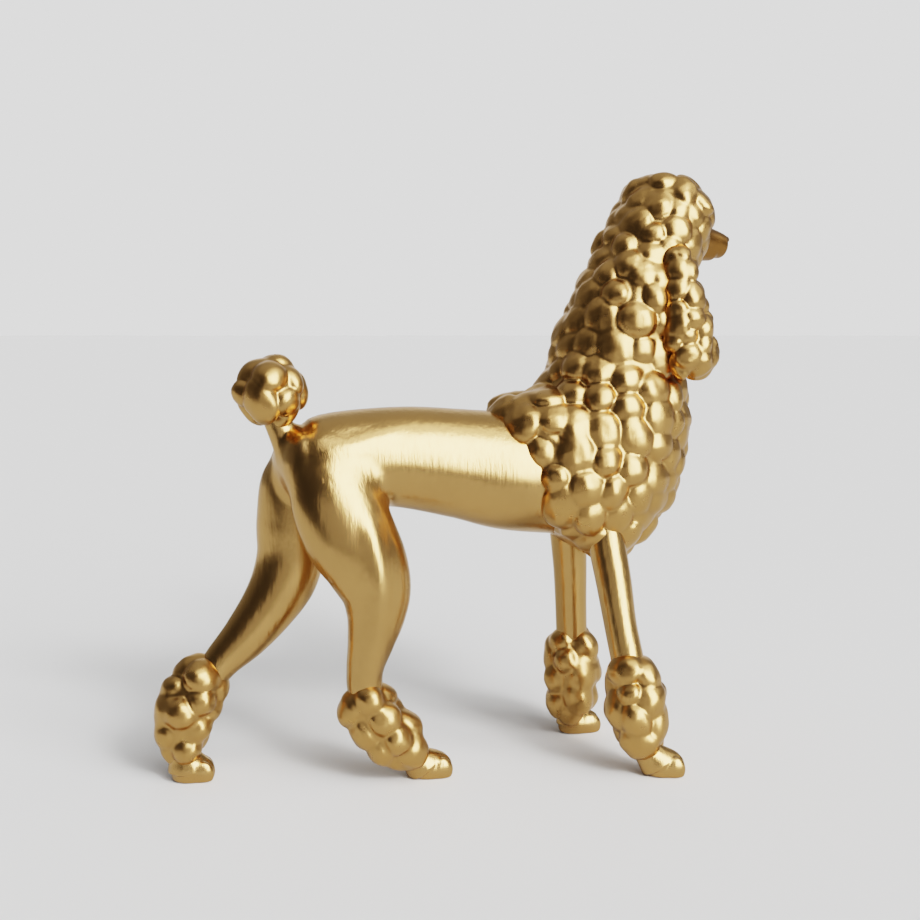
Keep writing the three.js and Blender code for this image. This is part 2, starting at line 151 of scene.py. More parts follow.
# Raised lines under the skin: from the tail's root along the back, and down the right hind leg.
BACK_RIDGE = [
    (-75, -7, 150, 3.6, 3.6), (-66, -12.4, 147.6, 4.2, 4.2), (-57, -15.6, 147.4, 3.8, 3.8),
    (-48, -15.2, 149.4, 3, 3), (-38, -12.6, 152.4, 2, 2),
]
SHANK_RIDGE = [
    (-50, -26, 116, 3.6, 3.6), (-46.5, -27, 98, 3.6, 3.6), (-45.5, -26.3, 84, 3.4, 3.4),
    (-47, -23.2, 65, 3, 3), (-49.5, -20.6, 48, 2.8, 2.8),
]

LEGS = {
    "right_fore": {
        "bone": [
            (62.2, -16.5, 124, 8.7, 8.7), (63.2, -19.5, 112, 8.7, 8.7), (63.8, -23, 100, 8.5, 8.5),
            (65, -28, 84, 8.1, 8), (66.2, -32.8, 66, 7.4, 7.4), (68, -37, 50, 7.4, 7.4),
            (69, -39.5, 38, 6.8, 6.8),
        ],
        "cuff": [
            (68.6, -37, 50, 8.6, 8), (69.6, -39, 41, 11.2, 10.5), (71, -41.5, 28, 12, 11.5),
            (72.6, -43, 17, 9.6, 9.5), (74, -44, 11, 7, 7),
        ],
        "paw": [(70.4, -42.6, 17), (82.6, -46.3, 0), (91.6, -48, 0)],
    },
    "left_fore": {
        "bone": [
            (60, 15, 114, 9, 8.7), (61, 16.5, 102, 9, 8.6), (63, 18.5, 84, 8.3, 7.9),
            (64.3, 20, 66, 7.8, 7.5), (65.3, 21, 48, 7.6, 7.4), (65.6, 21.4, 36, 7, 7),
        ],
        "cuff": [
            (66.2, 21, 49, 8.6, 8), (66, 21.2, 40, 11.6, 11), (65.8, 21.8, 27, 12.6, 12),
            (66, 22, 14, 10.4, 10), (66.4, 22, 7, 7, 7),
        ],
        "paw": [(66.4, 22, 13), (69.8, 22, 0), (80.7, 22.6, 0)],
    },
    "right_hind": {
        "bone": [
            (-63, -6, 147, 12, 9), (-62, -12, 131, 19, 13.5), (-56.3, -15, 113, 20.3, 14.5),
            (-48.6, -16.5, 98, 18.4, 13.5), (-44.5, -17, 86, 16, 12.3), (-44.3, -17, 75, 13.3, 11),
            (-46.6, -16.5, 63, 10.5, 9.6), (-49.2, -16, 51, 8.3, 7.8), (-49.2, -16, 41, 7.8, 7.4),
            (-46, -16, 30, 7, 7),
        ],
        "cuff": [
            (-48.6, -16, 41, 8.4, 8), (-46.8, -16, 32, 11.2, 10.5), (-39.6, -15.8, 21.5, 12, 11.3),
            (-31, -15.5, 13.5, 9.8, 9.5), (-26.5, -15.3, 9.5, 6.8, 6.5),
        ],
        "paw": [(-32, -15.5, 14), (-19, -15, 0), (-9.2, -14.8, 0)],
    },
    "left_hind": {
        "bone": [
            (-67.5, 6, 147, 12.6, 9), (-71.2, 12, 131, 18, 13.5), (-74.4, 15.5, 113, 16.8, 14.5),
            (-75.8, 16, 98, 15.4, 13.2), (-79.2, 16, 86, 14.8, 12.3), (-86.5, 16, 74, 12.9, 11),
            (-97, 15.5, 61.5, 10.7, 9.4), (-108.4, 15, 50.5, 8.2, 7.6), (-117, 14.5, 39, 7, 7),
        ],
        "cuff": [
            (-114.2, 15, 47.5, 8.4, 8), (-119.6, 14.5, 39.5, 11.2, 10.5), (-124, 14, 28.5, 12, 11.5),
            (-125.6, 13.6, 17, 9.8, 9.5), (-125.8, 13.4, 10, 6.8, 6.5),
        ],
        "paw": [(-125.6, 13.4, 15), (-122, 13.3, 0), (-112.2, 13, 0)],
    },
}

# ------------------------------------------------------------------ fields


def catmull_rom(stations, count):
    """The stations' values on a smooth curve through them, at even steps of its length."""
    rows = np.array(stations, float)
    rows = np.vstack([2 * rows[0] - rows[1], rows, 2 * rows[-1] - rows[-2]])
    place = np.linspace(0, len(stations) - 1.000001, 40 * len(stations))
    i = place.astype(int)
    f = (place - i)[:, None]
    a, b, c, d = rows[i], rows[i + 1], rows[i + 2], rows[i + 3]
    curve = b + 0.5 * f * (c - a + f * (2 * a - 5 * b + 4 * c - d + f * (3 * (b - c) + d - a)))
    steps = np.linalg.norm(np.diff(curve[:, :3], axis=0), axis=1)
    length = np.concatenate([[0], np.cumsum(steps)])
    even = np.linspace(0, length[-1], count)
    return np.column_stack([np.interp(even, length, column) for column in curve.T]), even


def unit(vectors):
    """The vectors scaled to length 1."""
    return vectors / np.maximum(np.linalg.norm(vectors, axis=-1, keepdims=True), 1e-9)


class Limb:
    """The field of a tube with an elliptical section whose two ends are rounded.

    round_ends are the lengths of the two rounded ends; sideways is what the sections' second half
    width is measured along.
    """

    def __init__(self, stations, round_ends, sideways=SIDEWAYS):
        rows, length = catmull_rom(stations, 4 * SPINE_SAMPLES)
        kept = np.linspace(round_ends[0], length[-1] - round_ends[1], SPINE_SAMPLES)
        rows = np.column_stack([np.interp(kept, length, column) for column in rows.T])
        self.centres = rows[:, :3].astype(np.float32)
        tangents = unit(np.gradient(rows[:, :3], axis=0))
        fronts = unit(np.cross(sideways, tangents))
        sides = np.cross(tangents, fronts)
        self.axes = np.stack([fronts, sides, tangents], axis=1).astype(np.float32)
        self.halves = rows[:, 3:5].astype(np.float32)
        self.slopes = (np.gradient(rows[:, 3:5], axis=0) / (kept[1] - kept[0])).astype(np.float32)
        self.round_ends = round_ends

    def block(self, points):
        """Field at points: each is measured in the section nearest to it."""
        squares = (self.centres**2).sum(1)
        nearest = (squares - 2 * points @ self.centres.T).argmin(1)
        offset = points - self.centres[nearest]
        front, side, along = np.einsum("nij,nj->in", self.axes[nearest], offset)
        at_start = (nearest == 0) & (along < 0)
        at_end = (nearest == SPINE_SAMPLES - 1) & (along > 0)
        slide = np.where(at_start | at_end, 0, along)[:, None]
        halves = self.halves[nearest] + self.slopes[nearest] * slide
        past = np.where(at_start, along / self.round_ends[0], 0)
        past = np.where(at_end, along / self.round_ends[1], past)
        rho = np.sqrt((front / halves[:, 0]) ** 2 + (side / halves[:, 1]) ** 2 + past**2)
        return (rho - 1) * np.sqrt(halves[:, 0] * halves[:, 1])

    def __call__(self, points):
        parts = range(0, len(points), GRID_BLOCK)
        return np.concatenate([self.block(points[i : i + GRID_BLOCK]) for i in parts])


def ellipsoid(points, centre, radii, axes=None):
    """Field of an ellipsoid whose own axes are the rows of axes."""
    local = points - np.asarray(centre, np.float32)
    if axes is not None:
        local = local @ np.asarray(axes, np.float32).T
    radii = np.asarray(radii, np.float32)
    near = np.linalg.norm(local / radii, axis=-1)
    steep = np.linalg.norm(local / radii**2, axis=-1)
    return near * (near - 1) / np.maximum(steep, 1e-6)


def join(a, b, blend):
    """Union of two fields whose crease is filled to a radius of about the blend."""
    h = np.maximum(blend - np.abs(a - b), 0) / blend
    return np.minimum(a, b) - h * h * blend / 4


def cut(a, b, blend=0.5):
    """Field a without the inside of field b, with the new edge slightly rounded."""
    return -join(-a, b, blend)


# ------------------------------------------------------------------ grids and meshes


class Grid:
    """A block of space sampled at even steps."""

    def __init__(self, low, high, step):
        self.axes = [np.arange(lo, hi + step, step, dtype=np.float32) for lo, hi in zip(low, high)]
        self.low = np.array(low, np.float32)
        self.step = step
        self.shape = tuple(len(axis) for axis in self.axes)

    def points(self):
        """Every grid point, a row each."""
        return np.stack(np.meshgrid(*self.axes, indexing="ij"), axis=-1).reshape(-1, 3)

    def sample(self, field):
        """The field's value at every grid point."""
        return field(self.points()).reshape(self.shape).astype(np.float32)

    def around(self, centre, reach):
        """Slices of the grid within reach of a point."""
        return tuple(
            slice(*np.searchsorted(axis, (c - reach, c + reach))) for axis, c in zip(self.axes, centre)
        )

    def read(self, values, points):
        """Trilinear value of a sampled field at points, and its gradient."""
        place = (points - self.low) / self.step
        base = np.clip(place.astype(int), 0, np.array(self.shape) - 2)
        f = place - base
        corner = {}
        for o in itertools.product((0, 1), repeat=3):
            corner[o] = values[base[:, 0] + o[0], base[:, 1] + o[1], base[:, 2] + o[2]]
        total = np.zeros(len(points))
        slope = np.zeros((len(points), 3))
        for o, value in corner.items():
            w = [f[:, k] if o[k] else 1 - f[:, k] for k in range(3)]
            total += value * w[0] * w[1] * w[2]
            for k in range(3):
                others = [w[j] for j in range(3) if j != k]
                slope[:, k] += value * (1 if o[k] else -1) * others[0] * others[1]
        return total, slope / self.step


def net_vertices(values, mixed):
    """For each mixed cell, the mean of the points where the surface crosses its edges."""
    cells = np.argwhere(mixed)
    total = np.zeros((len(cells), 3))
    hits = np.zeros(len(cells))
    for axis in range(3):
        for pair in itertools.product((0, 1), repeat=2):
            offset = np.insert(np.array(pair), axis, 0)
            ahead = offset.copy()
            ahead[axis] = 1
            a = values[tuple((cells + offset).T)]
            b = values[tuple((cells + ahead).T)]
            crossed = (a < 0) != (b < 0)
            share = np.where(crossed, a / np.where(crossed, a - b, 1), 0)
            point = offset + share[:, None] * (ahead - offset)
            total += np.where(crossed[:, None], point, 0)
            hits += crossed
    return cells + total / hits[:, None]


def net_faces(inside, index):
    """One quad around each grid edge that the surface crosses, facing out."""
    quads = []
    for axis in range(3):
        u, v = (axis + 1) % 3, (axis + 2) % 3
        near = np.take(inside, range(inside.shape[axis] - 1), axis)
        far = np.take(inside, range(1, inside.shape[axis]), axis)
        edges = np.argwhere(near != far)
        edges = edges[(edges[:, u] > 0) & (edges[:, v] > 0)]
        edges = edges[(edges[:, u] < inside.shape[u] - 1) & (edges[:, v] < inside.shape[v] - 1)]
        step_u = np.eye(3, dtype=int)[u]
        step_v = np.eye(3, dtype=int)[v]
        ring = [edges, edges - step_u, edges - step_u - step_v, edges - step_v]
        quad = np.stack([index[tuple(cell.T)] for cell in ring], axis=1)
        outward = near[tuple(edges.T)]
        quad[~outward] = quad[~outward][:, ::-1]
        quads.append(quad)
    return np.concatenate(quads)


def relax(vertices, quads):
    """Each vertex moved to the mean of its neighbours."""
    ends = np.concatenate([quads[:, [i, (i + 1) % 4]] for i in range(4)])
    ends = np.concatenate([ends, ends[:, ::-1]])
    count = np.bincount(ends[:, 0], minlength=len(vertices))
    mean = [np.bincount(ends[:, 0], vertices[ends[:, 1], k], len(vertices)) for k in range(3)]
    return np.stack(mean, axis=1) / np.maximum(count, 1)[:, None]


def surface(grid, values):
    """Vertices and quads of the zero surface, evened out and pulled back onto it."""
    inside = values < 0
    corners = np.zeros(tuple(n - 1 for n in values.shape), np.int8)
    for o in itertools.product((0, 1), repeat=3):
        corners += inside[tuple(slice(o[k], o[k] + corners.shape[k]) for k in range(3))]
    mixed = (corners > 0) & (corners < 8)
    index = np.full(mixed.shape, -1)
    index[mixed] = np.arange(mixed.sum())
    vertices = grid.low + grid.step * net_vertices(values, mixed)
    quads = net_faces(inside, index)
    for _ in range(EVENING_PASSES):
        vertices = 0.5 * vertices + 0.5 * relax(vertices, quads)
        away, slope = grid.read(values, vertices)
        vertices -= slope * (away / np.maximum((slope**2).sum(1), LEAST_SLOPE))[:, None]
    return vertices, quads


def make_mesh(name, vertices, quads, creases=None):
    """A smooth mesh in the frame's metres, with how deep in a crease each vertex lies."""
    mesh = bpy.data.meshes.new(name)
    mesh.vertices.add(len(vertices))
    mesh.vertices.foreach_set("co", ((vertices - FIGURE_MIDDLE) * MM).astype(np.float32).ravel())
    mesh.loops.add(4 * len(quads))
    mesh.loops.foreach_set("vertex_index", quads.astype(np.int32).ravel())
    mesh.polygons.add(len(quads))
    mesh.polygons.foreach_set("loop_start", np.arange(0, 4 * len(quads), 4, dtype=np.int32))
    mesh.update(calc_edges=True)
    attribute = mesh.attributes.new("crease", "FLOAT", "POINT")
    depth = np.zeros(len(vertices)) if creases is None else creases
    attribute.data.foreach_set("value", depth.astype(np.float32))
    mesh.shade_smooth()
    return mesh


def shape(name, low, high, step, field):
    """Mesh of a field inside a box."""
    grid = Grid(low, high, step)
    vertices, quads = surface(grid, grid.sample(field))
    return make_mesh(name, vertices, quads)


def split(mesh, name, cuts, belongs):
    """The part of a mesh whose faces belong, after cutting it along planes. Cut ends are closed."""
    work = bmesh.new()
    work.from_mesh(mesh)
    for point, normal in cuts:
        everything = work.verts[:] + work.edges[:] + work.faces[:]
        place = (Vector(point) - Vector(FIGURE_MIDDLE)) * MM
        bmesh.ops.bisect_plane(work, geom=everything, dist=1e-7, plane_co=place, plane_no=normal)
    middles = np.array([face.calc_center_median() for face in work.faces]) / MM + FIGURE_MIDDLE
    kept = belongs(middles)
    gone = [face for face, keep in zip(work.faces[:], kept) if not keep]
    bmesh.ops.delete(work, geom=gone, context="FACES")
    rim = [edge for edge in work.edges if edge.is_boundary]
    for edge in rim:
        edge.smooth = False
    bmesh.ops.holes_fill(work, edges=rim, sides=0)
    part = bpy.data.meshes.new(name)
    work.to_mesh(part)
    work.free()
    return part


def place(name, mesh, slot, material):
    """A finished piece in the scene, standing for the CAD node of the same name."""
    piece = bpy.data.objects.new(f"{name}_surface", mesh)
    bpy.context.scene.collection.objects.link(piece)
    mesh.materials.clear()
    mesh.materials.append(material)
    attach(piece, "root")
    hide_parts(name)
    return piece


# ------------------------------------------------------------------ the coat of lobes


def turned(stations):
    """Stations of the head group, moved from its own axes onto the neck."""
    cos, sin = math.cos(HEAD_YAW), math.sin(HEAD_YAW)
    moved = []
    for x, y, z, *halves in stations:
        moved.append((
            NECK_SEAM[0] + cos * x - sin * y,
            NECK_SEAM[1] + sin * x + cos * y,
            NECK_SEAM[2] + z,
            *halves,
        ))
    return moved


def head_sideways():
    """The head group's own sideways direction."""
    return (-math.sin(HEAD_YAW), math.cos(HEAD_YAW), 0.0)


def spread(points, spacing, seed, fineness):
    """Indices of well-spread points: each next one is about the farthest from those taken."""
    rng = np.random.default_rng(seed)
    keen = rng.uniform(*LOBE_GAPS, len(points)) * fineness
    taken = [int(rng.integers(len(points)))]
    gap = np.linalg.norm(points - points[taken[0]], axis=1)
    while True:
        score = gap * keen
        best = int(score.argmax())
        if score[best] < spacing:
            return taken
        taken.append(best)
        gap = np.minimum(gap, np.linalg.norm(points - points[best], axis=1))


class Lobes:
    """How the lobes of one coat look."""

    def __init__(self, spacing, radius, height, seed, blend, lift=0.7, finer=None):
        self.spacing = spacing  # least distance between two lobes
        self.radius = radius  # half width of a lobe
        self.height = height  # half thickness, across the surface
        self.seed = seed
        self.blend = blend  # least and greatest radius of the crease around a lobe
        self.lift = lift  # how far above or below the others a lobe may stand
        self.finer = finer  # a function of points: how much smaller and closer the lobes are there


def any_way(rng):
    """A random direction."""
    return unit(rng.normal(size=3)).astype(np.float32)


def wave(points, way, rng, lengths):
    """A sine wave along a way, with a length and start drawn at random."""
    turns = points @ way * (2 * math.pi / rng.uniform(*lengths))
    return np.sin(turns + rng.uniform(*WAVE_STARTS))


def wobble(points, seed):
    """Slow waves, each with its own way and push, which make the lobes uneven."""
    rng = np.random.default_rng(seed)
    total = np.zeros_like(points)
    for _ in range(WOBBLE_WAVES):
        way, push = any_way(rng), any_way(rng)
        total += WOBBLE * wave(points, way, rng, WOBBLE_LENGTHS)[..., None] * push
    return total


def dents(points, seed):
    """Shallow unevenness of a hand-modelled surface."""
    rng = np.random.default_rng(seed)
    total = np.zeros(len(points), np.float32)
    for _ in range(DENT_WAVES):
        total += wave(points, any_way(rng), rng, DENT_LENGTHS)
    return DENT_DEPTH * total


def lobed(grid, base, look, flow, allowed=None):
    """Joins lobes to a sampled base. Returns the field and the gap, which is 0 in the creases."""
    vertices, _ = surface(grid, base)
    _, slope = grid.read(base, vertices)
    outward = unit(slope)
    if allowed is not None:
        fits = allowed(vertices, outward)
        vertices, outward = vertices[fits], outward[fits]
    fineness = np.ones(len(vertices)) if look.finer is None else look.finer(vertices)
    rng = np.random.default_rng(look.seed)
    first = base.copy()
    second = np.full_like(base, FAR)
    for site in spread(vertices, look.spacing, look.seed, fineness):
        normal = outward[site]
        down = unit(flow - normal * (flow @ normal) + rng.normal(0, LOBE_TURN, 3))
        across = unit(np.cross(normal, down))
        down = np.cross(across, normal)
        tilt = math.radians(rng.normal(*LOBE_TILT))
        along = math.cos(tilt) * down + math.sin(tilt) * normal
        facing = math.cos(tilt) * normal - math.sin(tilt) * down
        size = rng.uniform(*LOBE_SIZES)
        stretch = rng.uniform(*LOBE_STRETCHES)
        radii = np.array([size * stretch, size, 1.0]) * (look.radius, look.radius, look.height)
        radii /= fineness[site]
        sink = look.height * LOBE_SINK - look.lift * rng.uniform(-1, 1)
        centre = vertices[site] - normal * sink
        block = grid.around(centre, radii.max() + LOBE_REACH)
        local = np.stack(np.meshgrid(*[a[s] for a, s in zip(grid.axes, block)], indexing="ij"), -1)
        axes = np.stack([along, across, facing])
        lobe = ellipsoid(local + wobble(local, look.seed), centre, radii, axes)
        old = first[block]
        second[block] = np.minimum(second[block], np.maximum(old, lobe))
        first[block] = join(old, lobe, rng.uniform(*look.blend))
    return first, second - first


def coat(name, low, high, step, field, look, flow=(0, 0, -1), allowed=None, trim=None):
    """Mesh of a lobed form, with its creases marked on the vertices."""
    grid = Grid(low, high, step)
    values, gap = lobed(grid, grid.sample(field), look, np.array(flow, float), allowed)
    if trim is not None:
        values = np.maximum(values, grid.sample(trim))
    vertices, quads = surface(grid, values + grid.sample(lambda points: dents(points, look.seed)))
    apart, _ = grid.read(gap, vertices)
    return make_mesh(name, vertices, quads, np.exp(-np.maximum(apart, 0) / CREASE_WIDTH))


def ahead_of_collar(points):
    """Distance in front of the rear edge of the chest coat."""
    return COLLAR_SLANT * (points[:, 0] - np.interp(points[:, 2], COLLAR_HEIGHTS, COLLAR_X))


def chest_and_head():
    """The coat of the chest, neck and head in one field, so that no seam shows between them."""
    mane = Limb(MANE, (8, 16))
    head = Limb(turned(HEAD), (6, 15), head_sideways())
    trunk = Limb(TRUNK, (10, 1))
    face = np.array(turned([FACE])[0])

    def base(points):
        ahead = ahead_of_collar(points)
        thinner = np.clip(COLLAR_TAPER - ahead, 0, COLLAR_TAPER) * COLLAR_THINNING
        body = join(mane(points), ellipsoid(points, *SHOULDER), 8)
        for cheek in CHEEKS:
            body = join(body, ellipsoid(points, cheek, CHEEK_RADII), 6)
        body = np.maximum(body + thinner, -ahead)
        return join(body, head(points), 8)

    def allowed(points, outward):
        clear_of_trunk = trunk(points) > TRUNK_CLEARANCE
        clear_of_face = np.linalg.norm(points - face, axis=1) > FACE_CLEARANCE
        needed = np.where(points[:, 2] < BELLY_HEIGHT, BELLY_CLEARANCE, COLLAR_CLEARANCE)
        clear_of_collar = ahead_of_collar(points) > needed
        return clear_of_trunk & clear_of_face & clear_of_collar

    def finer_above(points):
        return np.interp(points[:, 2], TOPKNOT_HEIGHTS, (1, TOPKNOT_FINENESS))

    look = Lobes(10.2, 8.5, 5.4, seed=5, blend=(0.3, 1.2), lift=0.8, finer=finer_above)
    return coat("coat", *COAT_BOX, COAT_STEP, base, look, allowed=allowed)


def add_coat(gold):
    whole = chest_and_head()
    seam = [(tuple(NECK_SEAM), (0, 0, 1))]
    mane = split(whole, "mane", seam, lambda middles: middles[:, 2] < NECK_SEAM[2])
    head = split(whole, "head", seam, lambda middles: middles[:, 2] > NECK_SEAM[2])
    place("mane_shell", mane, "coat_gold", gold)
    place("head_shell", head, "coat_gold", gold)


def box_around(stations, margin):
    """Corners of a box around stations, wide enough for their sections."""
    rows = np.array(stations, float)
    reach = rows[:, 3:].max() + margin
    return rows[:, :3].min(0) - reach, rows[:, :3].max(0) + reach


def add_ears(gold):
    for side, name, seed in ((1, "right_ear", 21), (-1, "left_ear", 22)):
        stations = turned([(x, side * y, z, deep, wide) for x, y, z, deep, wide in EAR])
        field = Limb(stations, (4, 9), head_sideways())
        look = Lobes(6.9, 5.5, 4.5, seed=seed, blend=(0.25, 1.2))
        low, high = box_around(stations, 6)
        place(name, coat(name, low, high, TRIM_STEP, field, look), "coat_gold", gold)


def cuff(name, stations, seed):
    """Mesh of an ankle bracelet of lobes, with none on its two ends."""
    limb = Limb(stations, (2.5, 2.5))
    look = Lobes(9.8, 7.4, 6.4, seed=seed, blend=(0.6, 2.2))
    flow = unit(np.array(stations[-1][:3], float) - np.array(stations[0][:3], float))
    low, high = box_around(stations, 6)

    def under_lobes(points):
        return limb(points) + CUFF_SHRINK

    def on_the_side(points, outward):
        return np.abs(outward @ flow) < CUFF_END

    def over_floor(points):
        return FLOOR + CUFF_CLEARANCE - points[:, 2]

    return coat(name, low, high, TRIM_STEP, under_lobes, look, flow, on_the_side, over_floor)


def add_cuffs(gold):
    for number, (leg, parts) in enumerate(LEGS.items()):
        name = f"{leg}_cuff"
        place(name, cuff(name, parts["cuff"], seed=31 + number), "coat_gold", gold)


def add_pompom(gold):
    field = Limb(TAIL_POMPOM, (12, 12))
    look = Lobes(9.4, 6.9, 5.6, seed=44, blend=(0.3, 1.0), lift=0.9)
    low, high = box_around(TAIL_POMPOM, 6)
    place("tail_pompom", coat("pompom", low, high, POMPOM_STEP, field, look), "coat_gold", gold)


# ------------------------------------------------------------------ the smooth body


def add_body(gold):
    trunk = Limb(TRUNK, (10, 1))
    right = Limb(LEGS["right_hind"]["bone"], (8, 2))
    left = Limb(LEGS["left_hind"]["bone"], (8, 2))
    stem = Limb(TAIL_STEM, (2, 1))
    back_ridge = Limb(BACK_RIDGE, (4, 10))
    shank_ridge = Limb(SHANK_RIDGE, (8, 8))

    def body(points):
        thighs = join(join(right(points), shank_ridge(points), 5), left(points), 3)
        back = join(trunk(points), back_ridge(points), 5)
        return join(join(back, thighs, 7), stem(points), 4)

    whole = shape("body", *BODY_BOX, BODY_STEP, body)
    groin = ((0, 0, GROIN_HEIGHT), (0, 0, 1))
    middle = ((0, 0, 0), (0, 1, 0))

    def over_tail(middles):
        point, normal = TAIL_ROOT
        return ((middles - point) @ normal > 0) & (middles[:, 0] < TAIL_FRONT)

    def legs(middles):
        return (middles[:, 2] < GROIN_HEIGHT) & (middles[:, 0] < GROIN_FRONT)

    parts = {
        "trunk_shell": ([groin, TAIL_ROOT], lambda m: ~legs(m) & ~over_tail(m)),
        "right_hind_leg": ([groin, middle], lambda m: legs(m) & (m[:, 1] < 0)),
        "left_hind_leg": ([groin, middle], lambda m: legs(m) & (m[:, 1] > 0)),
        "tail_stem": ([TAIL_ROOT], over_tail),
    }
    for name, (cuts, belongs) in parts.items():
        place(name, split(whole, name, cuts, belongs), "satin_gold", gold)


def add_fore_legs(gold):
    for leg in ("right_fore", "left_fore"):
        stations = LEGS[leg]["bone"]
        low, high = box_around(stations, 3)
        mesh = shape(leg, low, high, LEG_STEP, Limb(stations, (3, 3)))
        place(f"{leg}_leg", mesh, "satin_gold", gold)


def paw_field(ankle, middle, tip):
    """A paw on a flat sole, with four toes divided by creases."""
    forward = unit(tip - middle)
    across = np.cross((0, 0, 1), forward)
    axes = np.stack([forward, across, (0, 0, 1)])
    half = np.linalg.norm(tip - middle)
    lift = np.array([0, 0, FLOOR + SOLE_LIFT])
    stub = Limb([(*ankle, 6, 6), (*(middle - 0.35 * half * forward + lift), 7, 6.6)], (1, 1))

    def field(points):
        whole = ellipsoid(points, middle + lift, (half * 0.97, 7.2, 8.2), axes)
        whole = join(whole, stub(points), 4)
        for toe_place in TOES:
            outer = abs(toe_place)
            reach = half * (0.52 - 0.07 * outer)
            centre = middle + forward * reach + across * toe_place * TOE_SPACING + lift
            toe = ellipsoid(points, centre, (half * 0.5, 2.35, 6.4 - 0.5 * outer), axes)
            whole = join(whole, toe, 0.8)
        return cut(whole, points[:, 2] - FLOOR, 1.0)

    return field


def add_paws(gold):
    for leg, parts in LEGS.items():
        ankle, middle, tip = (np.array(point, float) for point in parts["paw"])
        low = np.min([ankle, middle, tip], axis=0) - PAW_MARGIN
        high = np.max([ankle, middle, tip], axis=0) + PAW_MARGIN
        low[2] = FLOOR - 3 * FACE_STEP
        mesh = shape(leg, low, high, FACE_STEP, paw_field(ankle, middle, tip))
        place(f"{leg}_paw", mesh, "satin_gold", gold)


def add_muzzle(gold):
    """The smooth face: muzzle, jaw, brow, eyes and nose."""
    outline = turned(MUZZLE)
    wedge = Limb(outline, (3, 3.5), head_sideways())
    jaw = Limb(turned(JAW), (3, 4), head_sideways())
    axes = np.array([[math.cos(HEAD_YAW), math.sin(HEAD_YAW), 0], head_sideways(), (0, 0, 1)])

    def ball(points, centre, radii, side=1):
        x, y, z = centre
        return ellipsoid(points, turned([(x, side * y, z)])[0], radii, axes)

    def face(points):
        field = join(wedge(points), jaw(points), 1.2)
        field = join(field, ball(points, *BROW), 5)
        for side in (-1, 1):
            field = cut(field, ball(points, *EYE_SOCKET, side), 2.5)
            field = join(field, ball(points, *EYE, side), 0.7)
        return join(field, ball(points, *NOSE), 1.2)

    low, high = box_around(outline, 10)
    place("muzzle", shape("muzzle", low, high, FACE_STEP, face), "muzzle_gold", gold)


# ------------------------------------------------------------------ materials

# Scales of the gold's noises, in cycles a metre.
CLOUDS = 60  # slow change of tone
PATCHES = 90  # of the painted shade in the creases
WAVES = 130  # slow relief
WEAR = 240  # change of gloss
DENTS = 300
BROAD_STREAKS = 520
GRAIN = 1500
FINE_STREAKS = 2600
STEEL_STREAKS = 3000

# Heights of the gold's relief, in metres.
WAVE_RELIEF = 0.00012
DENT_RELIEF = 0.00035
BROAD_RELIEF = 0.00025
FINE_RELIEF = 0.00004
GRAIN_RELIEF = 0.000006
STEEL_RELIEF = 0.00003

CLOUD_SHADE = 0.82  # tone of the darker clouds, over the gold's own


def new_material(name):
    """A material, with its nodes, its links and its shader."""
    material = bpy.data.materials.new(name)
    material.use_nodes = True
    nodes = material.node_tree.nodes
    return material, nodes, material.node_tree.links, nodes["Principled BSDF"]


def noise(nodes, links, scale, detail, stretch=(1, 1, 1)):
    """Noise over the object's own metres, stretched by dividing its scale along an axis."""
    place_in = nodes.new("ShaderNodeTexCoord")
    mapping = nodes.new("ShaderNodeMapping")
    mapping.inputs["Scale"].default_value = [scale / s for s in stretch]
    texture = nodes.new("ShaderNodeTexNoise")
    texture.inputs["Scale"].default_value = 1.0
    texture.inputs["Detail"].default_value = detail
    links.new(place_in.outputs["Object"], mapping.inputs["Vector"])
    links.new(mapping.outputs["Vector"], texture.inputs["Vector"])
    return texture.outputs["Fac"]


def map_range(nodes, links, value, low, high, to_low, to_high):
    """A value's way from low to high, carried over to another range and held inside it."""
    node = nodes.new("ShaderNodeMapRange")
    node.inputs["From Min"].default_value = low
    node.inputs["From Max"].default_value = high
    node.inputs["To Min"].default_value = to_low
    node.inputs["To Max"].default_value = to_high
    links.new(value, node.inputs["Value"])
    return node.outputs["Result"]


def maths(nodes, links, operation, a, b):
    """A sum on two inputs, each a number or a socket."""
    node = nodes.new("ShaderNodeMath")
    node.operation = operation
    for socket, value in zip(node.inputs, (a, b)):
        if isinstance(value, (int, float)):
            socket.default_value = value
        else:
            links.new(value, socket)
    return node.outputs["Value"]


def mix_colour(nodes, links, share, a, b):
    """Colour a, with a share of colour b."""
    node = nodes.new("ShaderNodeMix")
    node.data_type = "RGBA"
    links.new(share, node.inputs["Factor"])
    for socket, value in ((node.inputs["A"], a), (node.inputs["B"], b)):
        if isinstance(value, tuple):
            socket.default_value = (*value, 1)
        else:
            links.new(value, socket)
    return node.outputs["Result"]


def bump(nodes, links, height, distance, before=None, strength=1.0):
    """Relief from a height, on top of any relief before it."""
    node = nodes.new("ShaderNodeBump")
    node.inputs["Distance"].default_value = distance
    node.inputs["Strength"].default_value = strength
    links.new(height, node.inputs["Height"])
    if before is not None:
        links.new(before, node.inputs["Normal"])
    return node.outputs["Normal"]


